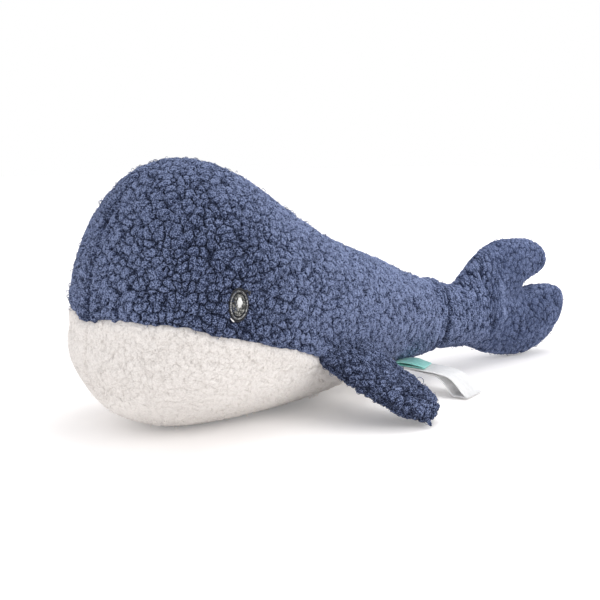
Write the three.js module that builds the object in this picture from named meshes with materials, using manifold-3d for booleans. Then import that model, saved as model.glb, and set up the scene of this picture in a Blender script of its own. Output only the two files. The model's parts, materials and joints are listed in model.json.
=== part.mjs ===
// Stuffed whale: fabric panels over fibre filling, with a jointed tail and two flippers.
// Millimetres. +X points to the nose, +Y to the whale's left, +Z up. The floor is z = 0.
import * as THREE from 'three';
import { mergeVertices } from 'three/addons/utils/BufferGeometryUtils.js';
import Module from 'manifold-3d';

const wasm = await Module();
wasm.setup();

// Driving dimensions
const overallLength = 350;
const bodyLength = 216;
const bodyHeight = 136;
const widthShare = 0.96;
const fabricThickness = 4;
const seamGap = 0.3;
const footDepth = 0.5;

// Neck, where the tail's round front end turns in a cup of the body
const neckHeight = 38.5;
const neckBallRadius = 20;
const neckLipRadius = 22.3;

// Flippers
const flipperLength = 49;
const flipperRootChord = 46;
const flipperThickness = 13;
const flipperSweepBack = 21;
const flipperFromNose = 129;
const flipperRootHeight = 33.5;
const flipperRootStandOff = 4;
const flipperDroopDegrees = 30;
const flipperRootYawDegrees = 15;
const flipperRootPitchDegrees = 5;
const flipperFabric = 3;

// Embroidered eyes
const eyeFromNose = 46.3;
const eyeCentreHeight = 71.3;
const eyeTall = 15.2;
const eyeWide = 9.7;
const eyeTiltDegrees = 6;
const eyeThread = 0.8;
const glintTall = 5.8;
const glintWide = 2.4;
const glintThread = 0.5;
const glintRise = 1.2;
const padCutDepth = 16;
const eyeSegments = 7;

// Labels sewn into the left seam behind the flipper
const labelFromNeck = 28.5;
const labelRootHeight = 16;
const labelStandOff = 1.1;
const labelThickness = 0.5;
const labelYawDegrees = 25;
const labelSteps = 8;
const labelFullness = 1.5;
const labelSewnShare = 0.2;
const tabWidth = 17;
const tabLength = 18;
const tabLoopHeight = 2.6;
const tabDroopDegrees = 3;
const careWidth = 20;
const careLength = 50;
const careLoopHeight = 5;

// Places that follow from the dimensions
const noseX = overallLength / 2;
const neckX = noseX - bodyLength;
const tailReach = neckX + overallLength / 2;
const neckCentre = new THREE.Vector3(neckX, 0, neckHeight);
const eyeX = noseX - eyeFromNose;
const flipperRootX = noseX - flipperFromNose;
const labelRootX = neckX + labelFromNeck;
// Round forms are faceted, so the cup is wider by the depth of its facets
const ballSteps = 24;
const cupRadius = (neckBallRadius + seamGap) / Math.cos(Math.PI / ballSteps) ** 2;

// Body outline: heights of the back and the belly, from the nose to the neck, at equal steps of
// the square root of the distance, so that the nose is round. The lowest is cut flat by the foot
const backShares = [0.409, 0.593, 0.753, 0.885, 0.973, 1, 0.949, 0.821, 0.682, 0.565, 0.452];
const bellyShares = [0.409, 0.215, 0.112, 0.054, 0.014, 0, 0, 0.008, 0.034, 0.072, 0.116];
const bodySteps = 17;
const bodySides = 26;
const fillSteps = 10;
const fillSides = 16;
// The body's end rolls in towards the neck over this stretch
const endRollLength = 12;

// Blue and white fabrics meet on this line, seen from the side: [share of the body's length
// from the nose, share of its height]
const seamShares = [
  [-0.05, 0.462], [0.03, 0.464], [0.067, 0.462], [0.116, 0.452], [0.154, 0.43],
  [0.221, 0.401], [0.302, 0.361], [0.402, 0.31], [0.48, 0.267], [0.6, 0.226],
  [0.71, 0.196], [0.8, 0.155], [0.87, 0.112], [0.92, 0.06], [0.95, -0.1],
];
const seamPointCount = 26;

// Tail stations behind the neck: [distance share, height share, slope in degrees,
// half height share, half thickness share], all shares of the tail's reach behind the neck
const stalkShares = [
  [0.072, -0.01, -4, 0.141, 0.137],
  [0.14, -0.024, -3, 0.158, 0.148],
  [0.21, -0.03, -1, 0.157, 0.14],
  [0.29, -0.028, 3, 0.163, 0.128],
  [0.37, -0.018, 7, 0.178, 0.117],
  [0.46, -0.01, 12, 0.176, 0.104],
  [0.58, 0.002, 14, 0.115, 0.072],
];
const upperLobeShares = [
  [0.36, 0.05, 40, 0.122, 0.09],
  [0.46, 0.125, 36, 0.142, 0.098],
  [0.56, 0.186, 16, 0.126, 0.09],
  [0.66, 0.206, 2, 0.107, 0.08],
  [0.755, 0.2, -10, 0.087, 0.066],
  [0.82, 0.184, -18, 0.052, 0.042],
];
const lowerLobeShares = [
  [0.34, -0.07, -12, 0.12, 0.085],
  [0.48, -0.108, -9, 0.165, 0.1],
  [0.61, -0.117, 0, 0.174, 0.095],
  [0.73, -0.114, 5, 0.177, 0.09],
  [0.84, -0.096, 14, 0.164, 0.08],
  [0.92, -0.073, 21, 0.134, 0.065],
  [0.962, -0.056, 26, 0.088, 0.044],
];
const lobeTipShare = 0.03;
const stalkFrontReach = 5;
const lobeFrontReach = 12;
const tailSides = 16;
const lobeSides = 12;
const tailFillSides = 8;

// Flipper outline: [share of the length, half chord share, half thickness share, sweep share]
const flipperShares = [
  [0, 0.95, 1, 0], [0.18, 0.97, 1, 0.08], [0.38, 0.93, 1.04, 0.24], [0.58, 0.86, 1.02, 0.45],
  [0.76, 0.75, 0.93, 0.68], [0.89, 0.58, 0.77, 0.86], [0.965, 0.36, 0.52, 0.96],
];
const flipperSides = 12;
const flipperFillSides = 8;
const rootRingDegrees = [78, 40];
// A hollow's tip keeps at least these shares of the inset
const leastChordShare = 0.25;
const leastThicknessShare = 0.125;
// Points closer than this are one point
const weldDistance = 1e-4;

const fabricBlue = new THREE.MeshStandardMaterial({ color: 0x4f5d85, roughness: 0.95, metalness: 0 });
const fabricWhite = new THREE.MeshStandardMaterial({ color: 0xe8e2de, roughness: 0.95, metalness: 0 });
const fibre = new THREE.MeshStandardMaterial({ color: 0xf4f3ef, roughness: 1, metalness: 0 });
const threadDark = new THREE.MeshStandardMaterial({ color: 0x45495a, roughness: 0.6, metalness: 0 });
const threadLight = new THREE.MeshStandardMaterial({ color: 0xe9e9e6, roughness: 0.6, metalness: 0 });
const ribbonTeal = new THREE.MeshStandardMaterial({ color: 0x5fcfb4, roughness: 0.7, metalness: 0 });
const ribbonWhite = new THREE.MeshStandardMaterial({ color: 0xf0f0ee, roughness: 0.7, metalness: 0 });

// A closed solid from a closed geometry
function solidOf(geometry) {
  const bare = geometry.clone();
  bare.deleteAttribute('normal');
  bare.deleteAttribute('uv');
  const merged = mergeVertices(bare, weldDistance);
  return new wasm.Manifold(new wasm.Mesh({
    numProp: 3,
    vertProperties: new Float32Array(merged.attributes.position.array),
    triVerts: new Uint32Array(merged.index.array),
  }));
}

function solidAt(geometry, matrix) {
  return solidOf(geometry.clone().applyMatrix4(matrix));
}

// A skin over closed rings of equal count, closed by a point at each end
function loft(rings, startPoint, endPoint) {
  const sides = rings[0].length;
  const points = [startPoint, ...rings.flat(), endPoint];
  const last = points.length - 1;
  const at = (ring, side) => 1 + ring * sides + (side % sides);
  const faces = [];
  for (let side = 0; side < sides; side += 1) {
    faces.push(0, at(0, side + 1), at(0, side));
    faces.push(last, at(rings.length - 1, side), at(rings.length - 1, side + 1));
    for (let ring = 0; ring + 1 < rings.length; ring += 1) {
      const a = at(ring, side);
      const b = at(ring, side + 1);
      const c = at(ring + 1, side + 1);
      const d = at(ring + 1, side);
      faces.push(a, b, c, a, c, d);
    }
  }
  const geometry = new THREE.BufferGeometry().setFromPoints(points);
  geometry.setIndex(faces);
  const solid = solidOf(geometry);
  if (solid.volume() > 0) return solid;
  const flipped = [];
  for (let i = 0; i < faces.length; i += 3) flipped.push(faces[i], faces[i + 2], faces[i + 1]);
  geometry.setIndex(flipped);
  return solidOf(geometry);
}

function meshOf(name, solid, material) {
  const data = solid.getMesh();
  const geometry = new THREE.BufferGeometry();
  geometry.setAttribute('position', new THREE.BufferAttribute(new Float32Array(data.vertProperties), 3));
  geometry.setIndex(new THREE.BufferAttribute(new Uint32Array(data.triVerts), 1));
  const mesh = new THREE.Mesh(geometry, material);
  mesh.name = name;
  return mesh;
}

function ball(centre, radius) {
  const geometry = new THREE.SphereGeometry(radius, ballSteps, ballSteps / 2);
  return solidAt(geometry, new THREE.Matrix4().makeTranslation(centre));
}

function block(lowX, highX, lowY, highY, lowZ, highZ) {
  const geometry = new THREE.BoxGeometry(highX - lowX, highY - lowY, highZ - lowZ);
  const centre = new THREE.Vector3(lowX + highX, lowY + highY, lowZ + highZ).multiplyScalar(1 / 2);
  return solidAt(geometry, new THREE.Matrix4().makeTranslation(centre));
}

// Half spaces of the whole toy, used to split it at its seams
const reach = overallLength;
const leftSide = block(-reach, reach, seamGap / 2, reach, -reach, reach);
const rightSide = block(-reach, reach, -reach, -seamGap / 2, -reach, reach);
const aboveFloor = block(-reach, reach, -reach, reach, 0, reach);

// Body profile
function heightCurve(shares) {
  const last = shares.length - 1;
  return new THREE.SplineCurve(shares.map(
    (share, i) => new THREE.Vector2(i / last, share * bodyHeight - footDepth),
  ));
}

const backCurve = heightCurve(backShares);
const bellyCurve = heightCurve(bellyShares);

// Middle height and half height of the body at a distance behind the nose
function bodySection(distance) {
  const step = Math.sqrt(Math.max(distance, 0) / bodyLength);
  const back = backCurve.getPoint(step).y;
  const belly = bellyCurve.getPoint(step).y;
  const toNeck = bodyLength - distance;
  const roll = THREE.MathUtils.clamp(1 - toNeck / endRollLength, 0, 1);
  const full = (back - belly) / 2;
  const half = THREE.MathUtils.lerp(full, neckLipRadius, roll * roll);
  const middle = THREE.MathUtils.lerp((back + belly) / 2, neckHeight, roll * roll);
  return { middle, half };
}

// The body as a closed form, drawn in by an inset on every side
function bodyForm(inset, steps, sides) {
  const rings = [];
  for (let i = 1; i <= steps; i += 1) {
    const share = (i / steps) ** 2;
    const { middle, half } = bodySection(bodyLength * share);
    const x = THREE.MathUtils.lerp(noseX - inset, neckX + Math.max(inset, 0), share);
    const ring = [];
    for (let side = 0; side < sides; side += 1) {
      const angle = (side / sides) * Math.PI * 2;
      const y = (half * widthShare - inset) * Math.sin(angle);
      ring.push(new THREE.Vector3(x, y, middle + (half - inset) * Math.cos(angle)));
    }
    rings.push(ring);
  }
  const nose = new THREE.Vector3(noseX - inset, 0, bodySection(0).middle);
  const rear = new THREE.Vector3(neckX + Math.max(inset, 0), 0, neckHeight);
  return loft(rings, nose, rear);
}

// Height of the fabric seam over the whole length, as a closed outline that lies under it
function underSeam(shift) {
  const line = new THREE.SplineCurve(seamShares.map(([along, height]) => new THREE.Vector2(
    noseX - along * bodyLength,
    height * bodyHeight + shift,
  )));
  const points = line.getPoints(seamPointCount);
  const shape = new THREE.Shape(points);
  shape.lineTo(points[points.length - 1].x, -bodyHeight);
  shape.lineTo(points[0].x, -bodyHeight);
  shape.closePath();
  const geometry = new THREE.ExtrudeGeometry(shape, { depth: reach * 2, bevelEnabled: false });
  const turn = new THREE.Matrix4().makeRotationX(Math.PI / 2);
  const place = new THREE.Matrix4().makeTranslation(0, reach, 0);
  return solidAt(geometry, place.multiply(turn));
}

// Flipper frame on the left side: the root axis runs forward along the seam
const flipperYaw = THREE.MathUtils.degToRad(flipperRootYawDegrees);
const flipperPitch = THREE.MathUtils.degToRad(flipperRootPitchDegrees);
const flipperDroop = THREE.MathUtils.degToRad(flipperDroopDegrees);

function bodySideAt(x, z) {
  const { middle, half } = bodySection(noseX - x);
  const rise = (z - middle) / half;
  const y = widthShare * half * Math.sqrt(1 - rise * rise);
  const normal = new THREE.Vector3(0, y / widthShare ** 2, z - middle).normalize();
  return { point: new THREE.Vector3(x, y, z), normal };
}

const flipperSeat = bodySideAt(flipperRootX, flipperRootHeight);
const flipperAxisPoint = flipperSeat.point.clone().addScaledVector(flipperSeat.normal, flipperRootStandOff);
const flipperAxis = new THREE.Vector3(
  Math.cos(flipperYaw) * Math.cos(flipperPitch),
  Math.sin(flipperYaw) * Math.cos(flipperPitch),
  Math.sin(flipperPitch),
);
const flipperOutward = new THREE.Vector3(0, Math.cos(flipperDroop), -Math.sin(flipperDroop));
flipperOutward.addScaledVector(flipperAxis, -flipperOutward.dot(flipperAxis)).normalize();
const flipperFace = new THREE.Vector3().crossVectors(flipperAxis, flipperOutward);
const flipperFrame = new THREE.Matrix4()
  .makeBasis(flipperAxis, flipperOutward, flipperFace)
  .setPosition(flipperAxisPoint);

// Flipper in its own frame: x along the root, y outwards, z through the thickness
function flipperForm(inset, sides) {
  const halfChord = flipperRootChord / 2;
  const halfThickness = flipperThickness / 2;
  const rings = [];
  const ringAt = (along, chord, thickness, sweep) => {
    const ring = [];
    for (let side = 0; side < sides; side += 1) {
      const angle = (side / sides) * Math.PI * 2;
      const x = -sweep + Math.max(chord - inset, inset * leastChordShare) * Math.cos(angle);
      const z = Math.max(thickness - inset, inset * leastThicknessShare) * Math.sin(angle);
      ring.push(new THREE.Vector3(x, along, z));
    }
    rings.push(ring);
  };
  const rootShare = flipperShares[0];
  for (const degrees of rootRingDegrees) {
    const angle = THREE.MathUtils.degToRad(degrees);
    const reachIn = (halfThickness - inset) * Math.sin(angle);
    const chord = rootShare[1] * halfChord;
    ringAt(-reachIn, chord, (halfThickness - inset) * Math.cos(angle) + inset, 0);
  }
  for (const [along, chord, thickness, sweep] of flipperShares) {
    ringAt(
      along * (flipperLength - inset),
      chord * halfChord,
      thickness * halfThickness,
      sweep * flipperSweepBack,
    );
  }
  const start = new THREE.Vector3(0, -(halfThickness - inset), 0);
  const end = new THREE.Vector3(-flipperSweepBack, flipperLength - inset, 0);
  return loft(rings, start, end).transform(flipperFrame.toArray());
}

// The groove that the flipper's round root turns in
function flipperGroove() {
  const radius = flipperThickness / 2 + seamGap;
  const geometry = new THREE.CylinderGeometry(radius, radius, flipperRootChord, ballSteps);
  geometry.rotateZ(-Math.PI / 2);
  return solidAt(geometry, flipperFrame);
}

const mirror = new THREE.Matrix4().makeScale(1, -1, 1).toArray();

// Body panels and filling
const groove = flipperGroove();
const bothGrooves = groove.add(groove.transform(mirror));
const bodyOuter = bodyForm(0, bodySteps, bodySides)
  .intersect(aboveFloor)
  .subtract(ball(neckCentre, cupRadius))
  .subtract(bothGrooves);
const cupWall = ball(neckCentre, cupRadius + fabricThickness);
const bodyHollow = bodyForm(fabricThickness, fillSteps, fillSides).subtract(cupWall);
const bodySkin = bodyOuter.subtract(bodyHollow);
const backSkin = bodySkin.subtract(underSeam(seamGap / 2));
const bellySkin = bodySkin.intersect(underSeam(-seamGap / 2));
const bodyFilling = bodyForm(fabricThickness + seamGap, fillSteps, fillSides)
  .subtract(ball(neckCentre, cupRadius + fabricThickness + seamGap));

// Tail: a stalk and two lobes in the middle plane of the toy
function tailArm(rows, inset, sides, frontReach) {
  const unit = tailReach;
  const along = tailReach - inset;
  const rings = rows.map(([behind, height, slope, halfHeight, halfThickness]) => {
    const angle = THREE.MathUtils.degToRad(slope);
    const up = new THREE.Vector3(Math.sin(angle), 0, Math.cos(angle));
    const centre = new THREE.Vector3(neckX - behind * along, 0, neckHeight + height * unit);
    const ring = [];
    for (let side = 0; side < sides; side += 1) {
      const turn = (side / sides) * Math.PI * 2;
      const rise = (halfHeight * unit - inset) * Math.cos(turn);
      const point = centre.clone().addScaledVector(up, rise);
      point.y = (halfThickness * unit - inset) * Math.sin(turn);
      ring.push(point);
    }
    return ring;
  });
  const endPoint = (row, distance) => {
    const angle = THREE.MathUtils.degToRad(row[2]);
    return new THREE.Vector3(
      neckX - row[0] * along - distance * Math.cos(angle),
      0,
      neckHeight + row[1] * unit + distance * Math.sin(angle),
    );
  };
  const first = rows[0];
  const last = rows[rows.length - 1];
  return loft(
    rings,
    endPoint(first, -frontReach),
    endPoint(last, lobeTipShare * unit - inset),
  );
}

function tailForm(inset, sides, armSides) {
  return ball(neckCentre, neckBallRadius - inset)
    .add(tailArm(stalkShares, inset, sides, stalkFrontReach))
    .add(tailArm(upperLobeShares, inset, armSides, lobeFrontReach))
    .add(tailArm(lowerLobeShares, inset, armSides, lobeFrontReach));
}

const tailOuter = tailForm(0, tailSides, lobeSides).intersect(aboveFloor);
const tailSkin = tailOuter.subtract(tailForm(fabricThickness, tailFillSides, tailFillSides));
const tailFilling = tailForm(fabricThickness + seamGap, tailFillSides, tailFillSides);

// Flipper panels and filling
const flipperOuter = flipperForm(0, flipperSides);
const flipperSkin = flipperOuter.subtract(flipperForm(flipperFabric, flipperFillSides));
const flipperFilling = flipperForm(flipperFabric + seamGap, flipperFillSides);

function flipperHalf(side) {
  const half = reach / 2;
  const geometry = new THREE.BoxGeometry(reach, reach, half);
  geometry.translate(0, 0, side * (half / 2 + seamGap / 2));
  return flipperSkin.intersect(solidAt(geometry, flipperFrame));
}

// Eyes: thread pads that follow the side of the head
function threadPad(tall, wide, lift, thread, upShift) {
  const seat = bodySideAt(eyeX, eyeCentreHeight);
  const ahead = (seat.point.y - bodySideAt(eyeX - eyeTall, eyeCentreHeight).point.y) / eyeTall;
  const normal = new THREE.Vector3(-ahead, seat.normal.y, seat.normal.z).normalize();
  const side = new THREE.Vector3(1, 0, 0).addScaledVector(normal, -normal.x).normalize();
  const up = new THREE.Vector3().crossVectors(side, normal).multiplyScalar(-1);
  if (up.z < 0) up.multiplyScalar(-1);
  side.crossVectors(up, normal);
  const tilt = new THREE.Matrix4().makeRotationZ(THREE.MathUtils.degToRad(eyeTiltDegrees));
  const outline = new THREE.Shape().absellipse(0, upShift, wide / 2, tall / 2, 0, Math.PI * 2, false, 0);
  const geometry = new THREE.ExtrudeGeometry(outline, {
    depth: padCutDepth, bevelEnabled: false, curveSegments: eyeSegments,
  });
  geometry.translate(0, 0, -padCutDepth / 2);
  const frame = new THREE.Matrix4().makeBasis(side, up, normal).setPosition(seat.point).multiply(tilt);
  return solidAt(geometry, frame)
    .intersect(bodyForm(-lift - thread, bodySteps, bodySides))
    .subtract(bodyForm(-lift, bodySteps, bodySides));
}

const eye = threadPad(eyeTall, eyeWide, seamGap, eyeThread, 0);
const glint = threadPad(glintTall, glintWide, seamGap * 2 + eyeThread, glintThread, glintRise);

// Labels: folded ribbon loops whose ends are caught in the seam
const labelSeat = bodySideAt(labelRootX, labelRootHeight);
const labelHinge = labelSeat.point.clone().addScaledVector(labelSeat.normal, labelStandOff);
const labelYaw = THREE.MathUtils.degToRad(labelYawDegrees);
const tabDroop = THREE.MathUtils.degToRad(tabDroopDegrees);
const careDrop = tabLoopHeight / 4;
// The folded end of the long label lies just over the floor
const careDroop = Math.asin((labelHinge.z - careDrop - labelThickness) / careLength);

function ribbonLoop(width, length, loopHeight, droop, drop) {
  // Outline of the loop seen on its edge: a drop whose point is the sewn end
  const outline = (inset, start) => {
    const high = loopHeight / 2 - inset;
    const reachOut = length - inset - start;
    const points = [];
    for (let i = 0; i < labelSteps * 2; i += 1) {
      const share = i < labelSteps ? i / labelSteps : 2 - i / labelSteps;
      const rise = Math.sin(Math.PI * share ** labelFullness) ** (1 / labelFullness);
      const sign = i < labelSteps ? 1 : -1;
      const side = i % labelSteps === 0 ? 0 : sign * high * rise;
      points.push(new THREE.Vector2(start + reachOut * share, side));
    }
    return points;
  };
  const shape = new THREE.Shape(outline(0, 0));
  shape.holes.push(new THREE.Path(outline(labelThickness, length * labelSewnShare).reverse()));
  const geometry = new THREE.ExtrudeGeometry(shape, { depth: width, bevelEnabled: false });
  geometry.translate(0, 0, -width / 2);
  const out = new THREE.Vector3(
    -Math.sin(labelYaw) * Math.cos(droop),
    Math.cos(labelYaw) * Math.cos(droop),
    -Math.sin(droop),
  );
  const across = new THREE.Vector3(Math.cos(labelYaw), Math.sin(labelYaw), 0);
  const over = new THREE.Vector3().crossVectors(across, out);
  const place = labelHinge.clone().add(new THREE.Vector3(0, 0, -drop));
  const frame = new THREE.Matrix4().makeBasis(out, over, across).setPosition(place);
  return solidAt(geometry, frame);
}

const group = new THREE.Group();
group.add(
  meshOf('back_panel_left', backSkin.intersect(leftSide), fabricBlue),
  meshOf('back_panel_right', backSkin.intersect(rightSide), fabricBlue),
  meshOf('belly_panel_left', bellySkin.intersect(leftSide), fabricWhite),
  meshOf('belly_panel_right', bellySkin.intersect(rightSide), fabricWhite),
  meshOf('body_filling', bodyFilling, fibre),
  meshOf('tail_panel_left', tailSkin.intersect(leftSide), fabricBlue),
  meshOf('tail_panel_right', tailSkin.intersect(rightSide), fabricBlue),
  meshOf('tail_filling', tailFilling, fibre),
  meshOf('eye_left', eye, threadDark),
  meshOf('eye_right', eye.transform(mirror), threadDark),
  meshOf('eye_glint_left', glint, threadLight),
  meshOf('eye_glint_right', glint.transform(mirror), threadLight),
  meshOf('tab_label', ribbonLoop(tabWidth, tabLength, tabLoopHeight, tabDroop, 0), ribbonTeal),
  meshOf(
    'care_label',
    ribbonLoop(careWidth, careLength, careLoopHeight, careDroop, careDrop),
    ribbonWhite,
  ),
);
const flipperPieces = [
  ['top', flipperHalf(1), fabricBlue],
  ['under', flipperHalf(-1), fabricBlue],
  ['filling', flipperFilling, fibre],
];
for (const [piece, solid, material] of flipperPieces) {
  group.add(meshOf(`flipper_left_${piece}`, solid, material));
  group.add(meshOf(`flipper_right_${piece}`, solid.transform(mirror), material));
}

export default group;
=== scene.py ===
"""Looks of a stuffed whale: nubbly cloth panels over fibre filling, sewn eyes and ribbon labels.

Metres, in the part's own frame: +X to the nose, +Y to the whale's left, +Z up, floor at z = 0.
Each soft form is a smooth field. Its skin is a net of even quads on that field, and the nubs of the
pile are moved out of that skin. Tones run from 0 in the deepest creases to 1 on the palest nubs;
they hold painted shade in creases, seams, dents and hollows, and painted light that pales the cloth
by which way it faces and where it lies on the toy.
"""

import json
import math
from itertools import product
from types import SimpleNamespace

import bpy
import numpy as np
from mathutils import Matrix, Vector


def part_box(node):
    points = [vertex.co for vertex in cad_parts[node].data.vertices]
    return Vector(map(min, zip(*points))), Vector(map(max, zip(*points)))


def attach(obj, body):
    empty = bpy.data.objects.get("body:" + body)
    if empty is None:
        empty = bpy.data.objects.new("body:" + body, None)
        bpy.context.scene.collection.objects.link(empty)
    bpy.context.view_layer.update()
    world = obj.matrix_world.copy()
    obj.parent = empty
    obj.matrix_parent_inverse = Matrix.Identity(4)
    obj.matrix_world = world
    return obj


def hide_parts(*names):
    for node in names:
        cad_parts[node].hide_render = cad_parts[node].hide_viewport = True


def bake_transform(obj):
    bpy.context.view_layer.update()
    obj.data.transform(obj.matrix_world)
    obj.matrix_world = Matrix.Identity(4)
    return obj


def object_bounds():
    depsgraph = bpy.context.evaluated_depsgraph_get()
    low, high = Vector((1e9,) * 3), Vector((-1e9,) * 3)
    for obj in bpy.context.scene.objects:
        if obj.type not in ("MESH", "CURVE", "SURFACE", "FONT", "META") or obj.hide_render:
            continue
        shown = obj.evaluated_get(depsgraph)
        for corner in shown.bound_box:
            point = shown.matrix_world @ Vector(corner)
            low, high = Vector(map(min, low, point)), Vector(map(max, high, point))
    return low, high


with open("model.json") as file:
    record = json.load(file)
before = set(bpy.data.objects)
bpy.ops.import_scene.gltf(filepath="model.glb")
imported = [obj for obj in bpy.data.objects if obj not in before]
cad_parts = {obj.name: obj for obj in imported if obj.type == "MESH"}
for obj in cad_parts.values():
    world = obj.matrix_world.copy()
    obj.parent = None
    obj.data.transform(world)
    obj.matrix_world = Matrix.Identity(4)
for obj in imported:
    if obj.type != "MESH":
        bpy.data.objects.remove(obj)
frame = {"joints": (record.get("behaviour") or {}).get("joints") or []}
cad_low, cad_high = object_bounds()

MM = 0.001
TINY = 1e-12
SIDES = (("left", 1), ("right", -1))
JOINTS = {joint["name"]: joint for joint in frame["joints"]}

# Body, with the outline of its solids: heights at even steps of the root of the distance
NOSE_X = cad_high.x
BODY_LENGTH = 216 * MM
BODY_HEIGHT = 136 * MM
WIDTH_SHARE = 0.96
FOOT_DEPTH = 0.5 * MM
END_ROLL = 6 * MM
BACK_SHARES = (0.4, 0.578, 0.734, 0.868, 0.967, 1, 0.949, 0.821, 0.683, 0.573, 0.457)
BELLY_SHARES = (0.4, 0.198, 0.102, 0.05, 0.013, 0, 0, 0.008, 0.034, 0.09, 0.104)
# Squared half height gained for each share of the length, ahead of the nose
NOSE_SLOPE = 0.066

# Line where blue and white cloth meet: shares of the length behind the nose, and of the height
SEAM = (
    (-0.05, 0.462), (0.03, 0.464), (0.067, 0.462), (0.116, 0.452), (0.154, 0.43),
    (0.221, 0.401), (0.302, 0.361), (0.402, 0.31), (0.48, 0.267), (0.6, 0.226),
    (0.71, 0.196), (0.8, 0.155), (0.87, 0.112), (0.92, 0.06), (0.95, -0.1),
)
SEAM_STEPS = 200
# Dip of that line round the front of the head: depth, half width, place along Y, and where it sets in
SEAM_DIP = 5.2 * MM
SEAM_DIP_WIDTH = 22 * MM
SEAM_DIP_SIDE = -5 * MM
SEAM_DIP_REAR, SEAM_DIP_FRONT = 100 * MM, 140 * MM
# Uneven stitching of that line
SEAM_WAVER, SEAM_WAVER_SIZE = 1.0 * MM, 3.6 * MM

# Tail as discs strung along three arms, in mm: x, z, radius, half thickness
STALK = (
    (-38, 39.2, 21.6, 20.8), (-45, 37.8, 21.9, 20.8), (-54, 36.2, 20.6, 19.4), (-66, 34.4, 19.6, 18),
    (-80, 34.2, 20.6, 16.6), (-92, 37, 23.5, 14.5),
)
UPPER_LOBE = (
    (-91, 42.2, 20, 14.2), (-98.4, 48.6, 22, 13.5), (-110, 56.4, 23, 12.6), (-122, 62.6, 17.6, 11.6),
    (-134, 65.4, 14.3, 10.4), (-143.6, 65, 10.6, 8.4), (-149.6, 64.8, 5.6, 5.4),
)
LOWER_LOBE = (
    (-88, 35.5, 20.6, 15), (-104, 31, 25, 13.6), (-118, 26.2, 24, 13.2), (-134, 23.6, 22.8, 12.6),
    (-146, 26, 21.5, 11.8), (-156, 29.6, 17.6, 10), (-162.4, 33.4, 13, 8), (-167.6, 35.8, 8.2, 5.4),
)
ARM_BLEND = 2.4 * MM
LOBE_RIM = 1.5
# Crease where the tail is sewn on: its place along X, and how it curves away with height
CREASE_X = -47.4 * MM
CREASE_CURVE = 11.5
CREASE_Z = 32 * MM
# Soft ridge down the side of the fluke, ahead of its notch
RIDGE_X = -101 * MM

# Flipper as discs in its own frame, in mm: along the root, outwards, radius, half thickness
FLIPPER = (
    (1.8, -3, 23.5, 6.6), (0.4, 8, 22, 6.9), (-3.6, 19, 19.7, 6.6), (-8, 28.8, 18.3, 6.6),
    (-12.1, 35.8, 14.8, 6.1),
)
FLIPPER_DROOP = math.radians(30)

# Cloth
PANEL_THICKNESS = 2.6 * MM
FLIPPER_THICKNESS = 0.7 * PANEL_THICKNESS
BLUE_NUB = 4.6 * MM
WHITE_NUB = 3.0 * MM
FLOOR_GAP = 0.15 * MM

# Nets: their step, the discs between two rows of an arm, and how often points are spread and settled
NET_STEP = 2.3 * MM
ARM_STEPS = 4
SPREAD_TIMES = 6
SEAM_TIMES = 4
SEAM_SPREAD_TIMES = 3
SLOPE_REACH = 0.2 * MM
ON_PLANE = 0.001 * MM

# Fullness of the chin: how far it swells, and the height and half height of the swelling
CHIN_SWELL = 3 * MM
CHIN_Z = 37 * MM
CHIN_HALF = 13 * MM
# Deeper dents in the seam over the head: height and half height
HEAD_DENTS = ((69 * MM, 8 * MM), (109 * MM, 8 * MM))

# Seed of each noise and of each set of curls
SALT = SimpleNamespace(
    side_seam=3, dents=5, neck=9, combed=11, belly=23, lobes=31, shades=37, flipper=47, holes=53,
    lumps=61, body_curls=71, tail_curls=73, belly_curls=77, flipper_curls=79,
)
# Numbers that mix a cell's place into its random numbers, and the share of a cell that its point avoids
MIX_X, MIX_Y, MIX_Z, MIX_SALT = 73856093, 19349663, 83492791, 7919
MIX_FIRST, MIX_SECOND, LOW_BITS, MORE_BITS = 1103515245, 69069, 0x7FFFFFFF, 0x7FFFFFFFFFFF
REMIX = 7.3
CELL_MARGIN = 0.06


# Numbers and noise


def smooth(low, high, value):
    """0 under low, 1 over high, smooth between."""
    t = np.clip((value - low) / (high - low), 0, 1)
    return t * t * (3 - 2 * t)


def spline(values, at):
    """A smooth curve through evenly spaced values, read at shares from 0 to 1."""
    values = np.asarray(values, float)
    last = len(values) - 1
    t = np.clip(at, 0, 1) * last
    i = np.minimum(t.astype(int), last - 1)
    f = t - i
    before, here, there, after = (values[np.clip(i + k, 0, last)] for k in (-1, 0, 1, 2))
    rise, fall = (there - before) / 2, (after - here) / 2
    cubic = (2 * here - 2 * there + rise + fall) * f**3
    return cubic + (-3 * here + 3 * there - 2 * rise - fall) * f**2 + rise * f + here


def scatter(cell, salt):
    """Three steady random numbers from 0 to 1 for each whole-number cell."""
    mixed = cell[:, 0] * MIX_X ^ cell[:, 1] * MIX_Y ^ cell[:, 2] * MIX_Z ^ salt * MIX_SALT
    mixed = (mixed & LOW_BITS) * MIX_FIRST & MORE_BITS
    mixed = (mixed ^ mixed >> 17) * MIX_SECOND & MORE_BITS
    mixed ^= mixed >> 19
    return np.stack([(mixed >> shift & 0x3FF) / 1023 for shift in (3, 14, 25)], 1)


def cells(points, size, salt):
    """Distances to the nearest and second nearest scattered point, in cell sizes, and the nearest's
    own number."""
    at = points / size
    base = np.floor(at).astype(np.int64)
    first = np.full(len(at), np.inf)
    second = first.copy()
    number = np.zeros(len(at))
    for step in product((-1, 0, 1), repeat=3):
        cell = base + step
        chance = scatter(cell, salt)
        distance = np.linalg.norm(at - cell - CELL_MARGIN - (1 - 2 * CELL_MARGIN) * chance, axis=1)
        closer = distance < first
        second = np.where(closer, first, np.minimum(second, distance))
        first = np.where(closer, distance, first)
        number = np.where(closer, chance[:, 0] * REMIX % 1, number)
    return first, second, number


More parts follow.
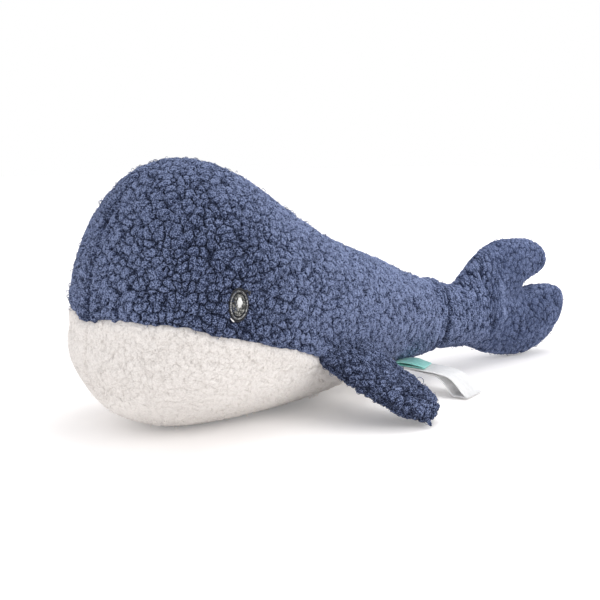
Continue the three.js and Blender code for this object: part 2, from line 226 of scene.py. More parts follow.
def drift(points, size, salt):
    """Smooth noise from -1 to 1, three numbers for each point."""
    at = points / size
    base = np.floor(at).astype(np.int64)
    f = at - base
    f = f * f * (3 - 2 * f)
    total = np.zeros((len(at), 3))
    for corner in product((0, 1), repeat=3):
        weight = np.prod(np.where(corner, f, 1 - f), axis=1)
        total += weight[:, None] * scatter(base + corner, salt)
    return 2 * total - 1


def groove(distance, depth, width):
    return depth * np.exp(-((distance / width) ** 2))


def unit(v):
    return v / np.maximum(np.linalg.norm(v, axis=-1, keepdims=True), TINY)


def in_surface(slope, normal):
    """The share of each slope that lies in the surface."""
    return slope - (slope * normal).sum(1, keepdims=True) * normal


# Fields, which are below 0 inside


def body_section(x):
    """Middle height and half height of the body at x."""
    step = np.sqrt(np.clip((NOSE_X - x) / BODY_LENGTH, 0, 1))
    back = spline(BACK_SHARES, step) * BODY_HEIGHT - FOOT_DEPTH
    belly = spline(BELLY_SHARES, step) * BODY_HEIGHT - FOOT_DEPTH
    return (back + belly) / 2, (back - belly) / 2


def body_field(p):
    x, y, z = p.T
    middle, half = body_section(x)
    behind = NOSE_X - x
    roll = np.clip((behind - BODY_LENGTH + END_ROLL) / END_ROLL, 0, None)
    girth = half**2 * (1 - roll**4)
    girth = np.where(behind < 0, behind / BODY_LENGTH * NOSE_SLOPE, girth)
    return (y / WIDTH_SHARE) ** 2 + (z - middle) ** 2 - girth


def chain_field(a, b, across, discs, rim=2):
    """Distance-like field of flattened discs that follow each other along a path. A rim under 2
    gives them a sharper edge."""
    rows = np.array(discs) * MM
    along = np.linspace(0, 1, (len(rows) - 1) * ARM_STEPS + 1)
    path = np.stack([spline(rows[:, k], along) for k in range(4)], 1)
    nearest = np.full(len(a), np.inf)
    for at_a, at_b, radius, thickness in path:
        out = ((a - at_a) ** 2 + (b - at_b) ** 2) / radius**2 + np.abs(across / thickness) ** rim
        nearest = np.minimum(nearest, (np.sqrt(out) - 1) * thickness)
    return nearest


def joined(one, other, width):
    """Union of two fields with a rounded inner corner."""
    h = np.clip(0.5 + (other - one) / (2 * width), 0, 1)
    return one * h + other * (1 - h) - width * h * (1 - h)


def tail_field(p):
    arms = [
        chain_field(p[:, 0], p[:, 2], p[:, 1], arm, rim)
        for arm, rim in ((STALK, 2), (UPPER_LOBE, LOBE_RIM), (LOWER_LOBE, LOBE_RIM))
    ]
    return joined(arms[0], joined(arms[1], arms[2], ARM_BLEND / 2), ARM_BLEND)


def flipper_field(p):
    return chain_field(p[:, 0], p[:, 1], p[:, 2], FLIPPER)


# Nets


def gradient(field, p):
    steps = np.eye(3) * SLOPE_REACH
    return np.stack([(field(p + step) - field(p - step)) / (2 * SLOPE_REACH) for step in steps], 1)


def settle(field, p, times=3):
    """Moves points onto the surface of a field, by one net step at most each time."""
    for _ in range(times):
        slope = gradient(field, p)
        move = field(p) / np.maximum((slope**2).sum(1), TINY)
        length = np.abs(move) * np.linalg.norm(slope, axis=1)
        p = p - slope * (move * np.minimum(1, NET_STEP / np.maximum(length, TINY)))[:, None]
    return p


def surface_net(field, low, high, step):
    """Points and quads, facing out, of the surface of a field, one point for each crossed cell."""
    axes = [np.arange(a, b + step, step) for a, b in zip(low, high)]
    shape = tuple(len(axis) for axis in axes)
    grid = np.stack(np.meshgrid(*axes, indexing="ij"), -1)
    value = field(grid.reshape(-1, 3)).reshape(shape)
    cell_shape = tuple(n - 1 for n in shape)
    total = np.zeros(cell_shape + (3,))
    count = np.zeros(cell_shape)
    crossed = []
    for axis in range(3):
        start = tuple(slice(0, -1) if k == axis else slice(None) for k in range(3))
        end = tuple(slice(1, None) if k == axis else slice(None) for k in range(3))
        cross = (value[start] < 0) != (value[end] < 0)
        crossed.append(cross)
        share = np.where(cross, value[start] / np.where(cross, value[start] - value[end], 1), 0)
        place = grid[start] + share[..., None] * step * np.eye(3)[axis]
        others = [k for k in range(3) if k != axis]
        for shift in product((0, 1), repeat=2):
            window = [slice(None)] * 3
            for k, s in zip(others, shift):
                window[k] = slice(s, cell_shape[k] + s)
            window = tuple(window)
            total += place[window] * cross[window][..., None]
            count += cross[window]
    active = count > 0
    number = np.full(cell_shape, -1)
    number[active] = np.arange(active.sum())
    points = total[active] / count[active][:, None]
    quads = []
    for axis in range(3):
        b, c = (axis + 1) % 3, (axis + 2) % 3
        at = np.argwhere(crossed[axis])
        outward = value[tuple(at.T)] < 0
        ring = []
        for shift_b, shift_c in ((-1, -1), (0, -1), (0, 0), (-1, 0)):
            cell = at.copy()
            cell[:, b] += shift_b
            cell[:, c] += shift_c
            ring.append(number[tuple(cell.T)])
        ring = np.stack(ring, 1)
        quads.append(np.where(outward[:, None], ring, ring[:, ::-1]))
    return points, np.concatenate(quads)


def relaxed(field, points, quads, times, held=None):
    """Spreads the points of a net evenly over the surface."""
    a, b = quads.ravel(), np.roll(quads, -1, axis=1).ravel()
    count = np.bincount(a, minlength=len(points)) + np.bincount(b, minlength=len(points))
    for _ in range(times):
        total = np.stack([
            np.bincount(a, points[b, k], len(points)) + np.bincount(b, points[a, k], len(points))
            for k in range(3)
        ], 1)
        moved = settle(field, (points + total / count[:, None]) / 2, 1)
        points = moved if held is None else np.where(held[:, None], points, moved)
    return points


def halved(points, quads):
    """Each quad as four. Also gives the new middle point of each edge, by its two ends."""
    ends = np.stack([quads, np.roll(quads, -1, axis=1)], 2).reshape(-1, 2)
    ends.sort(axis=1)
    keys, where = np.unique(ends[:, 0] * len(points) + ends[:, 1], return_inverse=True)
    edges = np.stack([keys // len(points), keys % len(points)], 1)
    middles = points[edges].mean(1)
    centres = points[quads].mean(1)
    middle = where.reshape(-1, 4) + len(points)
    centre = np.arange(len(quads)) + len(points) + len(middles)
    parts = [np.stack([quads[:, k], middle[:, k], centre, middle[:, k - 1]], 1) for k in range(4)]
    points_of = dict(zip(keys.tolist(), range(len(points), len(points) + len(keys))))
    return (
        np.concatenate([points, middles, centres]),
        np.stack(parts, 1).reshape(-1, 4),
        lambda a, b, n=len(points): points_of[min(a, b) * n + max(a, b)],
    )


def shared_by(quads, tags, size, one, other):
    """Which points touch quads of both groups of tags."""
    touched = np.zeros((2, size), bool)
    for mask, group in zip(touched, (one, other)):
        mask[quads[np.isin(tags, group)].ravel()] = True
    return touched.all(axis=0)


class Skin:
    """A closed net on a field, parted into panels by a tag for each quad, in two grades:
    the coarse net for the inner side of the cloth and the fine one for its pile."""

    def __init__(self, field, low, high, tag, seam=None):
        points, quads = surface_net(field, low, high, NET_STEP)
        points = relaxed(field, settle(field, points), quads, SPREAD_TIMES)
        tags = tag(points[quads].mean(1))
        points = self.on_seam(field, points, quads, tags, seam)
        self.coarse, self.coarse_quads, self.coarse_tags = points, quads, tags
        self.middles = []
        for _ in range(2):
            points, quads, middle = halved(points, quads)
            tags = np.repeat(tags, 4)
            self.middles.append(middle)
            points = self.on_seam(field, settle(field, points, 2), quads, tags, seam)
        self.points, self.quads, self.tags = points, quads, tags
        self.normals = unit(gradient(field, points))
        self.coarse_normals = unit(gradient(field, self.coarse))

    @staticmethod
    def on_seam(field, points, quads, tags, seam):
        """Moves the points between two colours of cloth onto the seam."""
        if seam is None:
            return points
        line, one, other = seam
        edge = shared_by(quads, tags, len(points), one, other)
        moved = points[edge]
        for _ in range(SEAM_TIMES):
            slope = in_surface(gradient(line, moved), unit(gradient(field, moved)))
            moved -= slope * (line(moved) / np.maximum((slope**2).sum(1), TINY))[:, None]
            moved = settle(field, moved, 1)
        points = points.copy()
        points[edge] = moved
        held = edge | (np.abs(points[:, 1]) < ON_PLANE)
        return relaxed(field, points, quads, SEAM_SPREAD_TIMES, held)

    def panel(self, tag, moved, thickness):
        """Closed shell of one panel: moved fine points outside, coarse points inside."""
        quads = self.quads[self.tags == tag]
        used = np.unique(quads)
        new = np.full(len(self.points), -1)
        new[used] = np.arange(len(used))
        inner = self.coarse_quads[self.coarse_tags == tag]
        inner_used = np.unique(inner)
        inner_new = np.full(len(self.coarse), -1)
        inner_new[inner_used] = np.arange(len(inner_used)) + len(used)
        inside = self.coarse[inner_used] - self.coarse_normals[inner_used] * thickness
        points = np.concatenate([moved[used], inside])
        ends = np.stack([inner, np.roll(inner, -1, axis=1)], 2).reshape(-1, 2)
        size = len(self.coarse)
        keys = ends[:, 0] * size + ends[:, 1]
        open_ends = ends[~np.isin(keys, ends[:, 1] * size + ends[:, 0])]
        rim = []
        for a, b in open_ends.tolist():
            middle = self.middles[0](a, b)
            chain = [a, self.middles[1](a, middle), middle, self.middles[1](middle, b), b]
            rim.append([*new[chain[::-1]], inner_new[a], inner_new[b]])
        groups = [new[quads], inner_new[inner][:, ::-1]]
        if rim:
            groups.append(np.array(rim))
        return points, groups, used


# Pieces

PLAIN_TONE = 0.5


def piece(name, points, groups, material, places=None, **numbers):
    """A mesh object from points and arrays of equal-sized polygons."""
    mesh = bpy.data.meshes.new(name)
    mesh.vertices.add(len(points))
    mesh.vertices.foreach_set("co", points.astype(np.float32).ravel())
    sizes = np.concatenate([np.full(len(group), group.shape[1]) for group in groups])
    loops = np.concatenate([group.ravel() for group in groups]).astype(np.int32)
    starts = np.concatenate([[0], np.cumsum(sizes)[:-1]]).astype(np.int32)
    mesh.loops.add(len(loops))
    mesh.loops.foreach_set("vertex_index", loops)
    mesh.polygons.add(len(sizes))
    mesh.polygons.foreach_set("loop_start", starts)
    mesh.polygons.foreach_set("use_smooth", np.ones(len(sizes), bool))
    mesh.update(calc_edges=True)
    mesh.validate()
    place = mesh.attributes.new("place", "FLOAT_VECTOR", "POINT")
    rest = points if places is None else places
    place.data.foreach_set("vector", rest.astype(np.float32).ravel())
    numbers = {"height": np.full(len(points), PLAIN_TONE), "grain": np.ones(len(points)), **numbers}
    for label, values in numbers.items():
        attribute = mesh.attributes.new(label, "FLOAT", "POINT")
        attribute.data.foreach_set("value", values.astype(np.float32))
    mesh.materials.append(material)
    made = bpy.data.objects.new(name, mesh)
    bpy.context.scene.collection.objects.link(made)
    return made


def with_body(made):
    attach(made, "body")


def mirrored(points, groups, mirror):
    """Points and faces as they are on the left, or mirrored to the right."""
    return points * (1, mirror, 1), groups if mirror > 0 else [group[:, ::-1] for group in groups]


def sewn_panel(
    name, skin, tag, shape, hold, cloth, thickness=PANEL_THICKNESS, grain=None, place=None,
):
    """The cloth of one panel, with its pile on the outside."""
    moved, tones = shape
    shell, groups, used = skin.panel(tag, moved, thickness)
    # The height attribute carries each point's tone, with its painted shade and painted light.
    numbers = {"height": np.full(len(shell), PLAIN_TONE)}
    numbers["height"][:len(used)] = tones[used]
    if grain is not None:
        numbers["grain"] = grain(shell)
    points = shell
    if place is not None:
        points, groups = place(shell, groups)
        points = on_floor(points)
    made = piece(name + "_cloth", points, groups, cloth[0], places=shell, **numbers)
    hold(made)
    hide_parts(name)


# Pile

# Where the blue pile gets combed towards the tail, and how much narrower along X and taller its nubs get
COMB_START, COMB_SPAN = 60 * MM, 90 * MM
COMB_NARROWER, COMB_TALLER = 0.9, 0.4


def nubs(place, size, salt):
    """Height of the pile from about -1 in its creases to 1 on its nubs, its creases and its curls.
    Noise bends the nubs, makes their creases ragged, closes some and twists the curls on them."""
    bent = place + drift(place, size * 1.7, salt + 1) * size * 0.4
    bent += drift(place, size * 0.5, salt + 3) * size * 0.12
    first, second, number = cells(bent, size, salt)
    ragged, shut, _ = drift(place, size * 0.8, salt + 4).T
    crease = (1 - smooth(0.02, 0.14 + 0.07 * ragged, second - first)) * smooth(-0.8, -0.1, shut)
    twisted = place + drift(place, size * 0.36, salt + 5) * size * 0.16
    near, next_near, shade = cells(twisted, size * 0.34, salt + 2)
    curls = smooth(0, 0.3, next_near - near) + 0.9 * shade - 1
    dome = 0.8 * (1 - (first / 0.8) ** 3)
    return dome - 1.1 * crease + 0.22 * (number - 0.5) + 0.14 * curls, crease, curls


def combed_nubs(p):
    """The blue pile of body and tail, which runs on from one to the other."""
    t = np.clip((COMB_START - p[:, 0]) / COMB_SPAN, 0, None)
    ramp = np.where(t < 1, t * t / 2, t - 0.5) * COMB_SPAN
    squeeze = 1 - COMB_TALLER * smooth(0, 1, t)
    place = np.stack([p[:, 0] - COMB_NARROWER * ramp, p[:, 1] * squeeze, p[:, 2] * squeeze], 1)
    return nubs(place, BLUE_NUB, SALT.combed)


def on_floor(points):
    """Cloth that reaches the floor lies flat on it."""
    points[:, 2] = np.maximum(points[:, 2], FLOOR_GAP)
    return points


# Materials


def plug(tree, made, inputs):
    """Sets each socket to its value, or links it to the output that is given for it."""
    for key, value in inputs.items():
        if isinstance(value, bpy.types.NodeSocket):
            tree.links.new(value, made.inputs[key])
        else:
            made.inputs[key].default_value = value


def node(tree, kind, inputs=None, **settings):
    made = tree.nodes.new(kind)
    for key, value in settings.items():
        setattr(made, key, value)
    plug(tree, made, inputs or {})
    return made


def maths(tree, operation, *values):
    return node(tree, "ShaderNodeMath", dict(enumerate(values)), operation=operation).outputs[0]


def stored(tree, name, output="Fac"):
    """What each point of the mesh holds under this name."""
    return node(tree, "ShaderNodeAttribute", attribute_name=name).outputs[output]


def ramp(tree, source, *stops):
    made = node(tree, "ShaderNodeValToRGB", {"Fac": source})
    elements = made.color_ramp.elements
    while len(elements) < len(stops):
        elements.new(0.5)
    for element, (position, colour) in zip(elements, stops):
        element.position = position
        element.color = (*colour, 1)
    return made.outputs["Color"]


def bump(tree, height, strength, distance):
    inputs = {"Height": height, "Strength": strength, "Distance": distance}
    return node(tree, "ShaderNodeBump", inputs).outputs["Normal"]


def plain_material(name):
    material = bpy.data.materials.new(name)
    material.use_nodes = True
    tree = material.node_tree
    return material, tree, tree.nodes["Principled BSDF"]


def pile_material(name, deep, middle, top, sheen, curl, depth, speck):
    """Boucle pile coloured by the tone stored as height: the deep colour is painted shade in the
    creases, and the top colour is the palest nubs and painted light. It has fine curls, soft
    blotches and a sheen.
    """
    material, tree, shader = plain_material(name)
    place = stored(tree, "place", "Vector")
    grain = node(tree, "ShaderNodeTexNoise", {
        "Vector": place, "Scale": 1 / curl, "Detail": 2, "Roughness": 0.6, "Distortion": 1.6,
    })
    warp = node(tree, "ShaderNodeVectorMath", {
        0: grain.outputs["Color"], 1: (curl, curl, curl), 2: place,
    }, operation="MULTIPLY_ADD")
    fibres = node(tree, "ShaderNodeTexVoronoi", {
        "Vector": warp.outputs["Vector"], "Scale": 1.1 / curl, "Smoothness": 0.3,
    }, feature="SMOOTH_F1")
    blotch = node(tree, "ShaderNodeTexNoise", {"Vector": place, "Scale": 70, "Detail": 2})
    curls = maths(tree, "SUBTRACT", grain.outputs["Fac"], fibres.outputs["Distance"])
    spread = maths(tree, "MULTIPLY", curls, maths(tree, "MULTIPLY", stored(tree, "grain"), speck))
    patch = maths(tree, "MULTIPLY_ADD", blotch.outputs["Fac"], 0.16, -0.08)
    tone = maths(tree, "ADD", maths(tree, "ADD", stored(tree, "height"), spread), patch)
    plug(tree, shader, {
        "Base Color": ramp(tree, tone, (0.0, deep), (0.5, middle), (1.0, top)),
        "Normal": bump(tree, spread, depth, 0.5 * MM),
        "Roughness": 0.92, "Specular IOR Level": 0.2,
        "Sheen Weight": sheen, "Sheen Roughness": 0.5, "Sheen Tint": (*top, 1),
    })
    return material


def thread_material(name, base, light):
    """Embroidery thread: fine streaks from a base to a light tone, with a satin gloss."""
    material, tree, shader = plain_material(name)
    inputs = {"Vector": stored(tree, "place", "Vector"), "Scale": 1300, "Detail": 2}
    grain = node(tree, "ShaderNodeTexNoise", inputs).outputs["Fac"]
    plug(tree, shader, {
        "Base Color": ramp(tree, grain, (0.42, base), (0.6, light)),
        "Normal": bump(tree, grain, 0.4, 0.1 * MM),
        "Roughness": 0.45, "Sheen Weight": 0.08,
    })
    return material


def ribbon_material(name, base, light):
    """Satin ribbon: fine threads across its width, and light that comes through."""
    material, tree, shader = plain_material(name)
    place = stored(tree, "place", "Vector")
    inputs = {"Vector": place, "Scale": 900, "Distortion": 0.6}
    weave = node(tree, "ShaderNodeTexWave", inputs, bands_direction="Y").outputs["Fac"]
    inputs = {"Vector": place, "Scale": 400, "Detail": 3}
    grain = node(tree, "ShaderNodeTexNoise", inputs).outputs["Fac"]
    plug(tree, shader, {
        "Base Color": ramp(tree, grain, (0.3, base), (0.75, light)),
        "Normal": bump(tree, weave, 0.35, 0.05 * MM),
        "Roughness": 0.5, "Sheen Weight": 0.15,
        "Subsurface Weight": 0.8, "Subsurface Radius": (1, 1, 1), "Subsurface Scale": 2.5 * MM,
    })
    return material


# The deep colour of each pile is painted shade in its creases, and its top colour also takes the painted
# light.
blue = pile_material(
    "blue_pile", deep=(0.004, 0.007, 0.024), middle=(0.06, 0.081, 0.161), top=(0.25, 0.302, 0.482),
    sheen=0.45, curl=0.8 * MM, depth=0.7, speck=1.85,
)
white = pile_material(
    "white_pile", deep=(0.56, 0.522, 0.49), middle=(0.752, 0.711, 0.676), top=(0.885, 0.848, 0.812),
    sheen=0.25, curl=0.9 * MM, depth=0.6, speck=0.7,
)
fibre = pile_material(
    "fibre", deep=(0.72, 0.71, 0.68), middle=(0.82, 0.81, 0.78), top=(0.9, 0.89, 0.87),
    sheen=0.1, curl=1.5 * MM, depth=0.6, speck=0.8,
)
BLUE_CLOTH, WHITE_CLOTH = (blue, "blue_fabric"), (white, "white_fabric")
dark_thread = thread_material("dark_thread", (0.003, 0.003, 0.006), (0.018, 0.019, 0.028))
grey_thread = thread_material("grey_thread", (0.004, 0.005, 0.007), (0.42, 0.42, 0.39))
pale_thread = thread_material("pale_thread", (0.1, 0.105, 0.11), (0.55, 0.55, 0.55))
light_thread = thread_material("light_thread", (0.78, 0.78, 0.76), (0.9, 0.9, 0.89))
teal_ribbon = ribbon_material("teal_ribbon", (0.17, 0.58, 0.49), (0.33, 0.76, 0.66))
white_ribbon = ribbon_material("white_ribbon", (0.72, 0.72, 0.715), (0.82, 0.82, 0.815))


# Body

LEFT_BACK, RIGHT_BACK, LEFT_BELLY, RIGHT_BELLY = range(4)

# Depth of the pile of each cloth, how far it sinks, and the grooves of its seams with their widths
BLUE_RELIEF, WHITE_RELIEF, PILE_SINK = 1.45 * MM, 1.2 * MM, 0.15 * MM
BLUE_SIDE_SEAM, WHITE_SIDE_SEAM, SIDE_SEAM_WIDTH = 0.65 * MM, 1.17 * MM, 1.3 * MM
MIDDLE_SEAM, MIDDLE_SEAM_WIDTH, UNEVEN_SIZE = 1.7 * MM, 1.4 * MM, 11 * MM
# Swelling of the cloth beside the side seam: how far off, height and half width. Dents of the head
SWELL_OFF, SWELL, SWELL_WIDTH = 5 * MM, 0.6 * MM, 3.5 * MM
DENT_DEPTH, DENT_WIDTH = 3.4 * MM, 2.4 * MM


def seam_height(x):
    rows = np.array(SEAM)
    share = (NOSE_X - x) / BODY_LENGTH
    along = np.linspace(0, 1, SEAM_STEPS)
    return np.interp(share, spline(rows[:, 0], along), spline(rows[:, 1], along)) * BODY_HEIGHT


def side_seam(p):
    x, y, z = p.T
    dip = groove(y - SEAM_DIP_SIDE, SEAM_DIP, SEAM_DIP_WIDTH)
    dip *= smooth(SEAM_DIP_REAR, SEAM_DIP_FRONT, x)
    waver = drift(p, SEAM_WAVER_SIZE, SALT.side_seam)[:, 0] * SEAM_WAVER
    return z - seam_height(x) + dip + waver


def seam_distance(points, normals):
    slope = in_surface(gradient(side_seam, points), normals)
    return np.abs(side_seam(points)) / np.maximum(np.linalg.norm(slope, axis=1), 0.2)


def balanced(half_count):
    """Lowest and highest place across the middle plane, so that a row of cells lies on it."""
    return -(half_count + 0.5) * NET_STEP, (half_count + 0.5) * NET_STEP


body_y = balanced(32)
body = Skin(
    body_field, (-50 * MM, body_y[0], -6 * MM), (180 * MM, body_y[1], 142 * MM),
    lambda p: (p[:, 1] < 0) + 2 * (side_seam(p) < 0),
    (side_seam, (LEFT_BACK, RIGHT_BACK), (LEFT_BELLY, RIGHT_BELLY)),
)


def body_relief():
    """Moved fine points of the body, and their tones, which hold painted shade and painted light."""
    p, n = body.points, body.normals
    x, y, z = p.T
    is_white = np.zeros(len(p), bool)
    is_white[body.quads[body.tags >= LEFT_BELLY].ravel()] = True

    def either(for_white, for_blue):
        return np.where(is_white, for_white, for_blue)

    to_side, to_middle = seam_distance(p, n), np.abs(y)
    front, rear = smooth(140 * MM, 170 * MM, x), smooth(80 * MM, 0, x)
    chin, lit_flank = smooth(100 * MM, 150 * MM, x), smooth(130 * MM, 80 * MM, x)
    top, under = smooth(0.4, 0.95, n[:, 2]), smooth(-0.2, -0.7, n[:, 2])
    height, crease, curls = combed_nubs(p)
    soft, dip, fine = nubs(p, WHITE_NUB, SALT.belly)
    deeper, wider, _ = drift(p, UNEVEN_SIZE, SALT.dents).T
    dent = sum(groove(z - high, 1, half) for high, half in HEAD_DENTS)
    dent = dent * groove(to_middle, 1, DENT_WIDTH) * (x > 120 * MM)

    flat = either(smooth(0, 1.3 * MM, to_side), 0.5 + 0.5 * smooth(0, 0.8 * MM, to_side))
    flat *= smooth(0, 0.9 * MM, to_middle)
    pile = either(WHITE_RELIEF * (0.25 * soft + 0.1 * fine), BLUE_RELIEF * height) - PILE_SINK
    move = pile * (0.15 + 0.85 * flat)
    move -= groove(to_side, either(WHITE_SIDE_SEAM, BLUE_SIDE_SEAM), SIDE_SEAM_WIDTH)
    deep = either(0.7, 1 + 0.3 * front) * (MIDDLE_SEAM + 1.3 * MM * deeper)
    move -= groove(to_middle, deep, MIDDLE_SEAM_WIDTH + 0.5 * MM * wider) + DENT_DEPTH * dent
    move += groove(to_side - SWELL_OFF, SWELL, SWELL_WIDTH)
    move += groove(z - CHIN_Z, CHIN_SWELL, CHIN_HALF) * chin

    # Painted shade in the creases, deeper on the face; painted light on the nub tops, the face, the body
    # behind the head, the rear and the cloth that faces up.
    blue_tone = 0.41 + (0.1 + 0.05 * front) * height - (0.5 + 0.14 * front) * crease + 0.09 * curls
    blue_tone += 0.3 * lit_flank + 0.2 * rear + 0.22 * front + (0.2 + 0.2 * rear) * top
    # On the white, painted shade in the creases and painted light on the cloth that faces down.
    white_tone = 0.5 + 0.1 * soft + 0.09 * fine - 0.15 * dip + 0.45 * under
    # Painted shade along the seams and in the dents of the head.
    tone = either(white_tone, blue_tone) - either(0.1, 0.3) * (1 - flat) - 0.6 * dent
    seam_shade = either(0.28, 0.3 + 0.3 * front) * groove(to_middle, 1, 1.2 * MM)
    tone -= seam_shade * smooth(-0.6, 0.4, deeper)
    return on_floor(p + n * move[:, None]), np.clip(tone, 0, 1)


body_shape = body_relief()
for tag, name in enumerate(
    ("back_panel_left", "back_panel_right", "belly_panel_left", "belly_panel_right")
):
    cloth = BLUE_CLOTH if tag < LEFT_BELLY else WHITE_CLOTH
    sewn_panel(name, body, tag, body_shape, with_body, cloth)


# Tail

# Crease at the neck: depth and width of its fold, and the roll behind it
PINCH_DEPTH, PINCH_WIDTH = 3.4 * MM, 1.8 * MM
ROLL_OFF, ROLL, ROLL_WIDTH = 5 * MM, 1.0 * MM, 3.2 * MM
# Ridge down the side of the fluke: height and width, and how far ahead of it lies the painted shade of a
# hollow
RIDGE_SWELL, RIDGE_WIDTH, HOLLOW_OFF = 1.3 * MM, 4.6 * MM, 9 * MM
TAIL_RELIEF, TAIL_SINK, RIM_SEAM = 1.1 * MM, 0.1 * MM, 1.0 * MM

tail_y = balanced(10)
tail = Skin(
    tail_field, (-182 * MM, tail_y[0], -6 * MM), (-10 * MM, tail_y[1], 88 * MM),
    lambda p: (p[:, 1] < 0).astype(int),
)


def tail_relief():
    """Moved fine points of the tail, and their tones, with painted shade and painted light. The
    lobes have a softer pile than the stalk.
    """
    p, n = tail.points, tail.normals
    x, y, z = p.T
    to_middle = np.abs(y)
    height, crease, curls = combed_nubs(p)
    soft, soft_crease, _ = nubs(p * (1.15, 1, 0.9), 0.95 * BLUE_NUB, SALT.lobes)
    lobes = smooth(-85 * MM, -115 * MM, x)
    stalk = 1 - lobes
    pile = height * stalk + 0.7 * soft * lobes
    crease_shade = 0.85 * crease * stalk + 0.45 * soft_crease * lobes
    flat = smooth(0, RIM_SEAM, to_middle)
    waver = drift(p, 8 * MM, SALT.neck)
    bend = x - CREASE_X + CREASE_CURVE * (z - CREASE_Z) ** 2 + 0.8 * MM * waver[:, 0]
    pinch = groove(bend, 1, PINCH_WIDTH) * (1 + 0.35 * waver[:, 1])
    pinch *= 1 + 0.3 * smooth(30 * MM, 18 * MM, z)
    from_ridge = x - RIDGE_X
    ridge = smooth(12 * MM, 30 * MM, z) * smooth(66 * MM, 50 * MM, z)
    ridge *= smooth(3 * MM, 9 * MM, to_middle)

    move = (TAIL_RELIEF * pile - TAIL_SINK) * (0.2 + 0.8 * flat) - groove(to_middle, RIM_SEAM, RIM_SEAM)
    move += groove(bend - ROLL_OFF, ROLL, ROLL_WIDTH) - PINCH_DEPTH * pinch
    move += ridge * groove(from_ridge, RIDGE_SWELL, RIDGE_WIDTH)

    # Painted shade in the creases, along the rim seam and in the neck crease.
    tone = 0.52 + 0.16 * pile - 0.55 * crease_shade - 0.15 * (1 - flat) - 0.6 * pinch
    tone += stalk * (0.05 * curls + 0.12)
    # A painted highlight along the ridge, and painted shade in a hollow ahead of it.
    tone += ridge * (groove(from_ridge, 0.12, 4.2 * MM) - groove(from_ridge - HOLLOW_OFF, 0.22, 4.5 * MM))
    shades = drift(p, 13 * MM, SALT.shades)[:, 0]
    tone += lobes * (0.08 * smooth(9 * MM, 5 * MM, to_middle) + 0.09 * shades - 0.05)
    return on_floor(p + n * move[:, None]), np.clip(tone, 0, 1)


def tail_grain(p):
    """Finest curl of the pile: softer towards the lobes."""
    return 0.75 - 0.4 * smooth(-50 * MM, -110 * MM, p[:, 0])


def with_tail(made):
    """Bakes the placing of a piece of the tail into its mesh."""
    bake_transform(made)


tail_shape = tail_relief()
for tag, name in enumerate(("tail_panel_left", "tail_panel_right")):
    sewn_panel(name, tail, tag, tail_shape, with_tail, BLUE_CLOTH, grain=tail_grain)


# Flippers

FLIPPER_RELIEF, HOLE_DEPTH, HOLE_SIZE = 1.6 * MM, 0.9 * MM, 2.6 * MM
EDGE_SEAM, EDGE_WIDTH, FLIPPER_GRAIN = 0.5 * MM, 1.0 * MM, 1.2

flipper_z = balanced(4)
flipper = Skin(
    flipper_field, (-34 * MM, -30 * MM, flipper_z[0]), (28 * MM, 54 * MM, flipper_z[1]),
    lambda p: (p[:, 2] < 0).astype(int),
)
hinge = JOINTS["flipper_left_flap"]
along = Vector(hinge["axis"]).normalized()
out = Vector((0, math.cos(FLIPPER_DROOP), -math.sin(FLIPPER_DROOP)))
out = (out - along * out.dot(along)).normalized()
flipper_axes = np.array([along, out, along.cross(out)])
flipper_seat = np.array(hinge["pos_m"])


def flipper_relief():
    """Moved fine points of a flipper in its own frame, and tones with painted shade and light."""
    p, n = flipper.points, flipper.normals
    height, crease, curls = nubs(p, BLUE_NUB, SALT.flipper)
    to_edge = np.abs(p[:, 2])
    flat = smooth(0, EDGE_WIDTH, to_edge)
    holes = smooth(0.1, 0.55, drift(p, HOLE_SIZE, SALT.holes)[:, 0])
    top, under = smooth(0.45, 0.95, n[:, 2]), smooth(0, -0.7, n[:, 2])
    move = (FLIPPER_RELIEF * height - HOLE_DEPTH * holes) * (0.35 + 0.65 * flat)
    move -= groove(to_edge, EDGE_SEAM, EDGE_WIDTH)
    # Painted shade in the creases, along the edge seam and in the holes; on return, painted light on the
    # top and painted shade underneath.
    tone = 0.22 + 0.2 * height - 0.6 * crease + 0.14 * curls - 0.06 * (1 - flat) - 0.3 * holes
    return p + n * move[:, None], np.clip(tone + 0.17 * top - 0.1 * under, 0, 1)


def at_flipper(mirror):
    """Places a flipper's points and faces, from its own frame, on one side of the body."""
    return lambda points, groups: mirrored(flipper_seat + points @ flipper_axes, groups, mirror)


def with_flipper():
    """Gives a step that bakes the placing of a piece of a flipper into its mesh."""
    return lambda made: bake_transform(made)


flipper_shape = flipper_relief()
for side, mirror in SIDES:
    for tag, part in enumerate(("top", "under")):
        sewn_panel(
            f"flipper_{side}_{part}", flipper, tag, flipper_shape, with_flipper(),
            BLUE_CLOTH, FLIPPER_THICKNESS, lambda p: np.full(len(p), FLIPPER_GRAIN), at_flipper(mirror),
        )


# Fillings


def filling(name, skin, inset, node_name, hold, place=None):
    """The fibre inside one form: its coarse net drawn in, with soft lumps."""
    lumps = drift(skin.coarse, 9 * MM, SALT.lumps)[:, 0] * 0.4 * MM
    points = skin.coarse - skin.coarse_normals * (inset + 0.4 * MM - lumps)[:, None]
    groups = [skin.coarse_quads]
    if place is not None:
        points, groups = place(points, groups)
    points[:, 2] = np.maximum(points[:, 2], inset)
    made = piece(name, points, groups, fibre)
    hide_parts(node_name)
    hold(made)


filling("body_fibre", body, PANEL_THICKNESS + 1.2 * MM, "body_filling", with_body)
filling("tail_fibre", tail, PANEL_THICKNESS + 1.2 * MM, "tail_filling", with_tail)
for side, mirror in SIDES:
    filling(
        f"flipper_{side}_fibre", flipper, 2.6 * MM, f"flipper_{side}_filling",
        with_flipper(), at_flipper(mirror),
    )


# Threads


